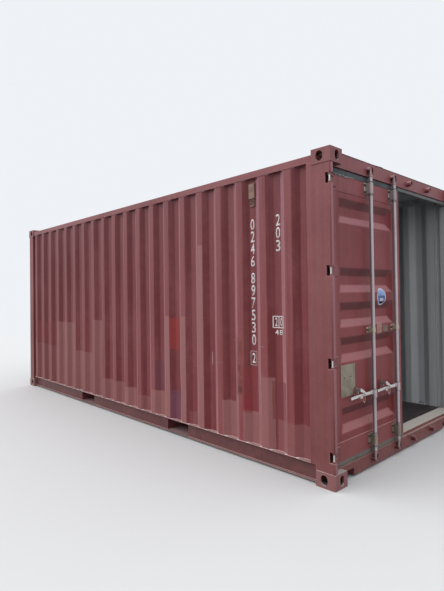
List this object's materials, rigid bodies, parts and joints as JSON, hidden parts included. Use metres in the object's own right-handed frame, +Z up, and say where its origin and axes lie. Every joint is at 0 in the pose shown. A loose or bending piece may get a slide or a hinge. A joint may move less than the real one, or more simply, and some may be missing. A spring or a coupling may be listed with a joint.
{
  "type": "shipping container",
  "caption": "Dry freight container with corrugated steel walls, hinged end doors, lock bars with cams, handles and catches, corner castings and fork pockets.",
  "frame": {"origin": "centre of the base, on the plane of the bottom castings' lower faces", "axes": "+X along the container to its door end, +Y to the side of the open door, +Z up"},
  "size_m": [6.138, 3.614, 2.591],
  "materials": {
    "container_red": "weathered dull red-brown paint, repainted in patches, with rust",
    "casting_paint": "dull red-brown paint over cast steel, worn",
    "galvanised": "dull galvanised steel with red paint and rust",
    "hinge_pin_steel": "pale bare steel",
    "vent_beige": "matte beige, dusty",
    "seal_rubber": "matte dark grey rubber",
    "floor_plywood": "dark brown plywood, worn"
  },
  "bodies": {
    "container": {"bottom_corner_castings": "casting_paint", "top_corner_castings": "casting_paint", "bottom_side_rail_left": "container_red", "bottom_side_rail_right": "container_red", "top_side_rail_left": "container_red", "top_side_rail_right": "container_red", "side_wall_left": "container_red", "side_wall_right": "container_red", "front_wall": "container_red", "roof_panel": "container_red", "front_corner_posts": "container_red", "rear_corner_posts": "container_red", "rear_post_channels": "container_red", "front_top_rail": "container_red", "front_bottom_rail": "container_red", "door_header": "container_red", "door_sill": "container_red", "floor_cross_members": "container_red", "fork_pockets": "container_red", "plywood_floor": "floor_plywood", "side_wall_vents": "vent_beige", "lashing_rings": "galvanised", "header_cam_keepers": "container_red", "sill_cam_keepers": "container_red", "hinge_lugs": "container_red", "hinge_pins": "hinge_pin_steel"},
    "left_door": {"left_door_frame": "container_red", "left_door_panel": "container_red", "left_door_seal": "seal_rubber", "left_door_hinge_blades": "container_red", "left_door_bar_guides": "galvanised", "left_handle_retainers": "galvanised"},
    "left_outer_lock_bar": {"left_outer_lock_bar": "galvanised"},
    "left_outer_handle": {"left_outer_handle": "galvanised"},
    "left_outer_catch": {"left_outer_catch": "galvanised"},
    "left_inner_lock_bar": {"left_inner_lock_bar": "galvanised"},
    "left_inner_handle": {"left_inner_handle": "galvanised"},
    "left_inner_catch": {"left_inner_catch": "galvanised"},
    "right_door": {"right_door_frame": "container_red", "right_door_panel": "container_red", "right_door_seal": "seal_rubber", "right_door_hinge_blades": "container_red", "right_door_bar_guides": "galvanised", "right_handle_retainers": "galvanised"},
    "right_outer_lock_bar": {"right_outer_lock_bar": "galvanised"},
    "right_outer_handle": {"right_outer_handle": "galvanised"},
    "right_outer_catch": {"right_outer_catch": "galvanised"},
    "right_inner_lock_bar": {"right_inner_lock_bar": "galvanised"},
    "right_inner_handle": {"right_inner_handle": "galvanised"},
    "right_inner_catch": {"right_inner_catch": "galvanised"}
  },
  "joints": [
    {"name": "left_door_swing", "type": "hinge", "parent": "container", "child": "left_door", "pos_m": [3.009, -1.199, 1.297], "axis": [0, 0, -1], "range_deg": [0, 262]},
    {"name": "left_outer_lock_bar_turn", "type": "hinge", "parent": "left_door", "child": "left_outer_lock_bar", "pos_m": [2.997, -0.579, 1.297], "axis": [0, 0, -1], "range_deg": [-110, 0]},
    {"name": "left_outer_handle_lift", "type": "hinge", "parent": "left_outer_lock_bar", "child": "left_outer_handle", "pos_m": [3.003, -0.629, 0.645], "axis": [-1, 0, 0], "range_deg": [0, 5]},
    {"name": "left_outer_catch_turn", "type": "hinge", "parent": "left_door", "child": "left_outer_catch", "pos_m": [3.017, -0.819, 0.691], "axis": [1, 0, 0], "range_deg": [0, 90]},
    {"name": "left_inner_lock_bar_turn", "type": "hinge", "parent": "left_door", "child": "left_inner_lock_bar", "pos_m": [2.997, -0.164, 1.297], "axis": [0, 0, -1], "range_deg": [-110, 0]},
    {"name": "left_inner_handle_lift", "type": "hinge", "parent": "left_inner_lock_bar", "child": "left_inner_handle", "pos_m": [3.003, -0.214, 0.645], "axis": [-1, 0, 0], "range_deg": [0, 5]},
    {"name": "left_inner_catch_turn", "type": "hinge", "parent": "left_door", "child": "left_inner_catch", "pos_m": [3.017, -0.404, 0.691], "axis": [1, 0, 0], "range_deg": [0, 90]},
    {"name": "right_door_swing", "type": "hinge", "parent": "container", "child": "right_door", "pos_m": [3.009, 1.199, 1.297], "axis": [0, 0, 1], "range_deg": [-180, 82]},
    {"name": "right_outer_lock_bar_turn", "type": "hinge", "parent": "right_door", "child": "right_outer_lock_bar", "pos_m": [3.021, 1.819, 1.297], "axis": [0, 0, 1], "range_deg": [-110, 0]},
    {"name": "right_outer_handle_lift", "type": "hinge", "parent": "right_outer_lock_bar", "child": "right_outer_handle", "pos_m": [3.015, 1.769, 0.645], "axis": [-1, 0, 0], "range_deg": [0, 5]},
    {"name": "right_outer_catch_turn", "type": "hinge", "parent": "right_door", "child": "right_outer_catch", "pos_m": [3.001, 1.579, 0.691], "axis": [1, 0, 0], "range_deg": [0, 90]},
    {"name": "right_inner_lock_bar_turn", "type": "hinge", "parent": "right_door", "child": "right_inner_lock_bar", "pos_m": [3.021, 2.234, 1.297], "axis": [0, 0, 1], "range_deg": [-110, 0]},
    {"name": "right_inner_handle_lift", "type": "hinge", "parent": "right_inner_lock_bar", "child": "right_inner_handle", "pos_m": [3.015, 2.184, 0.645], "axis": [-1, 0, 0], "range_deg": [0, 5]},
    {"name": "right_inner_catch_turn", "type": "hinge", "parent": "right_door", "child": "right_inner_catch", "pos_m": [3.001, 1.994, 0.691], "axis": [1, 0, 0], "range_deg": [0, 90]}
  ]
}
